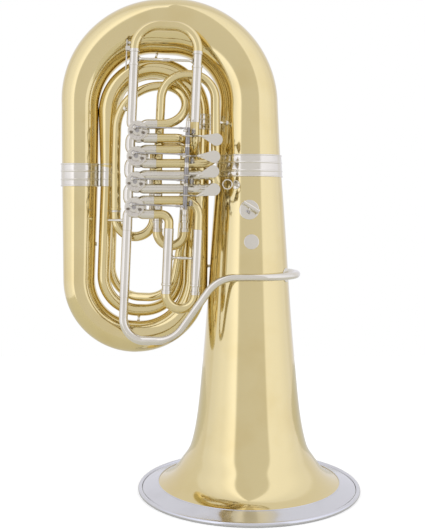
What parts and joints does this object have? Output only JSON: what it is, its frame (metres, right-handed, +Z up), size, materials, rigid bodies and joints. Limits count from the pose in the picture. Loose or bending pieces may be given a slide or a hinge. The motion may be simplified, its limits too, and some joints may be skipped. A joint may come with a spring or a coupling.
{
  "type": "bass tuba",
  "caption": "Bass tuba with rotary valves, paddle levers, tuning slides, wrapped leadpipe and a flared bell with a nickel garland.",
  "frame": {"origin": "bell axis at the plane of the bell's rim, on which it stands", "axes": "+Z up along the bell axis, valves on the -Y side, tube branches towards -X"},
  "size_m": [0.6087, 0.45, 0.9976],
  "materials": {
    "lacquered_brass": "polished, clear lacquer",
    "nickel": "polished nickel silver",
    "rotor_metal": "machined",
    "cork": "matte"
  },
  "bodies": {
    "horn": {"bell": "lacquered_brass", "bell_garland": "nickel", "bell_ferrule": "nickel", "big_bow": "lacquered_brass", "outer_branch": "lacquered_brass", "outer_branch_ferrule": "nickel", "second_top_bow": "lacquered_brass", "upper_branch_ferrule": "nickel", "second_branch": "lacquered_brass", "second_branch_ferrule": "nickel", "third_top_bow": "lacquered_brass", "third_bottom_bow": "lacquered_brass", "third_branch_ferrules": "nickel", "main_slide_receiver": "lacquered_brass", "main_slide_sleeves": "nickel", "valve_casings": "nickel", "valve_knuckles": "nickel", "rear_caps": "nickel", "stop_corks": "cork", "valve1_tubes": "lacquered_brass", "valve3_tubes": "lacquered_brass", "valve4_tubes": "lacquered_brass", "valve_slide_sleeves": "nickel", "action_axle": "nickel", "axle_bridge": "nickel", "leadpipe": "nickel", "mouthpiece_receiver": "nickel", "bell_fittings": "nickel", "stays": "nickel"},
    "main_slide": {"main_slide_legs": "nickel", "main_slide_bow": "lacquered_brass", "water_key_saddle": "nickel"},
    "water_key": {"water_key": "nickel", "water_key_cork": "cork"},
    "lyre_screw": {"lyre_screw": "nickel"},
    "valve1_slide": {"valve1_slide_legs": "nickel", "valve1_slide_bow": "lacquered_brass"},
    "rotor_1": {"rotor_1": "rotor_metal", "stop_arm_1": "nickel"},
    "link_1": {"link_1": "nickel"},
    "paddle_1": {"paddle_1": "nickel"},
    "valve2_slide": {"valve2_slide_legs": "nickel", "valve2_slide_bow": "lacquered_brass"},
    "rotor_2": {"rotor_2": "rotor_metal", "stop_arm_2": "nickel"},
    "link_2": {"link_2": "nickel"},
    "paddle_2": {"paddle_2": "nickel"},
    "valve3_slide": {"valve3_slide_legs": "nickel", "valve3_slide_bow": "lacquered_brass"},
    "rotor_3": {"rotor_3": "rotor_metal", "stop_arm_3": "nickel"},
    "link_3": {"link_3": "nickel"},
    "paddle_3": {"paddle_3": "nickel"},
    "valve4_slide": {"valve4_slide_legs": "nickel", "valve4_slide_bow": "lacquered_brass"},
    "rotor_4": {"rotor_4": "rotor_metal", "stop_arm_4": "nickel"},
    "link_4": {"link_4": "nickel"},
    "paddle_4": {"paddle_4": "nickel"}
  },
  "joints": [
    {"name": "paddle_1_press", "type": "hinge", "parent": "horn", "child": "paddle_1", "pos_m": [-0.12661, -0.096, 0.59035], "axis": [0.0419, 0, 0.9991], "range_deg": [0, 22], "stiffness_Nm_per_rad": 0.3, "springref_deg": -11.46},
    {"name": "link_1_push", "type": "slide", "parent": "horn", "child": "link_1", "axis": [0.9991, 0, -0.0419], "range_m": [0, 0.0096]},
    {"name": "rotor_1_turn", "type": "hinge", "parent": "horn", "child": "rotor_1", "pos_m": [-0.22527, -0.078, 0.57207], "axis": [0, 1, 0], "range_deg": [0, 90]},
    {"name": "paddle_2_press", "type": "hinge", "parent": "horn", "child": "paddle_2", "pos_m": [-0.12479, -0.096, 0.63381], "axis": [0.0419, 0, 0.9991], "range_deg": [0, 22], "stiffness_Nm_per_rad": 0.3, "springref_deg": -11.46},
    {"name": "link_2_push", "type": "slide", "parent": "horn", "child": "link_2", "axis": [0.9991, 0, -0.0419], "range_m": [0, 0.0096]},
    {"name": "rotor_2_turn", "type": "hinge", "parent": "horn", "child": "rotor_2", "pos_m": [-0.22319, -0.078, 0.62162], "axis": [0, 1, 0], "range_deg": [0, 90]},
    {"name": "paddle_3_press", "type": "hinge", "parent": "horn", "child": "paddle_3", "pos_m": [-0.12315, -0.096, 0.67308], "axis": [0.0419, 0, 0.9991], "range_deg": [0, 22], "stiffness_Nm_per_rad": 0.3, "springref_deg": -11.46},
    {"name": "link_3_push", "type": "slide", "parent": "horn", "child": "link_3", "axis": [0.9991, 0, -0.0419], "range_m": [0, 0.0096]},
    {"name": "rotor_3_turn", "type": "hinge", "parent": "horn", "child": "rotor_3", "pos_m": [-0.22111, -0.078, 0.67118], "axis": [0, 1, 0], "range_deg": [0, 90]},
    {"name": "paddle_4_press", "type": "hinge", "parent": "horn", "child": "paddle_4", "pos_m": [-0.1216, -0.096, 0.70995], "axis": [0.0419, 0, 0.9991], "range_deg": [0, 22], "stiffness_Nm_per_rad": 0.3, "springref_deg": -11.46},
    {"name": "link_4_push", "type": "slide", "parent": "horn", "child": "link_4", "axis": [0.9991, 0, -0.0419], "range_m": [0, 0.0096]},
    {"name": "rotor_4_turn", "type": "hinge", "parent": "horn", "child": "rotor_4", "pos_m": [-0.21903, -0.078, 0.72074], "axis": [0, 1, 0], "range_deg": [0, 90]},
    {"name": "main_slide_draw", "type": "slide", "parent": "horn", "child": "main_slide", "axis": [0.0419, 0, 0.9991], "range_m": [0, 0.06]},
    {"name": "valve1_slide_draw", "type": "slide", "parent": "horn", "child": "valve1_slide", "axis": [-0.0419, 0, -0.9991], "range_m": [0, 0.045]},
    {"name": "valve2_slide_draw", "type": "slide", "parent": "horn", "child": "valve2_slide", "axis": [1, 0, 0], "range_m": [0, 0.016]},
    {"name": "valve3_slide_draw", "type": "slide", "parent": "horn", "child": "valve3_slide", "axis": [0, 0, -1], "range_m": [0, 0.02]},
    {"name": "valve4_slide_draw", "type": "slide", "parent": "horn", "child": "valve4_slide", "axis": [0, 0, -1], "range_m": [0, 0.03]},
    {"name": "water_key_press", "type": "hinge", "parent": "main_slide", "child": "water_key", "pos_m": [-0.24003, -0.078, 0.88236], "axis": [0, -1, 0], "range_deg": [0, 6], "stiffness_Nm_per_rad": 0.05, "springref_deg": -17.19},
    {"name": "lyre_screw_turn", "type": "hinge", "parent": "horn", "child": "lyre_screw", "pos_m": [0.0015, -0.0845, 0.5726], "axis": [-0.5344, 0, -0.8452], "continuous": true}
  ],
  "couplings": [
    {"joint": "link_1_push", "follows": "paddle_1_press", "m_per_rad": 0.024847},
    {"joint": "rotor_1_turn", "follows": "paddle_1_press", "ratio": 4.09},
    {"joint": "link_2_push", "follows": "paddle_2_press", "m_per_rad": 0.024847},
    {"joint": "rotor_2_turn", "follows": "paddle_2_press", "ratio": 4.09},
    {"joint": "link_3_push", "follows": "paddle_3_press", "m_per_rad": 0.024847},
    {"joint": "rotor_3_turn", "follows": "paddle_3_press", "ratio": 4.09},
    {"joint": "link_4_push", "follows": "paddle_4_press", "m_per_rad": 0.024847},
    {"joint": "rotor_4_turn", "follows": "paddle_4_press", "ratio": 4.09}
  ]
}
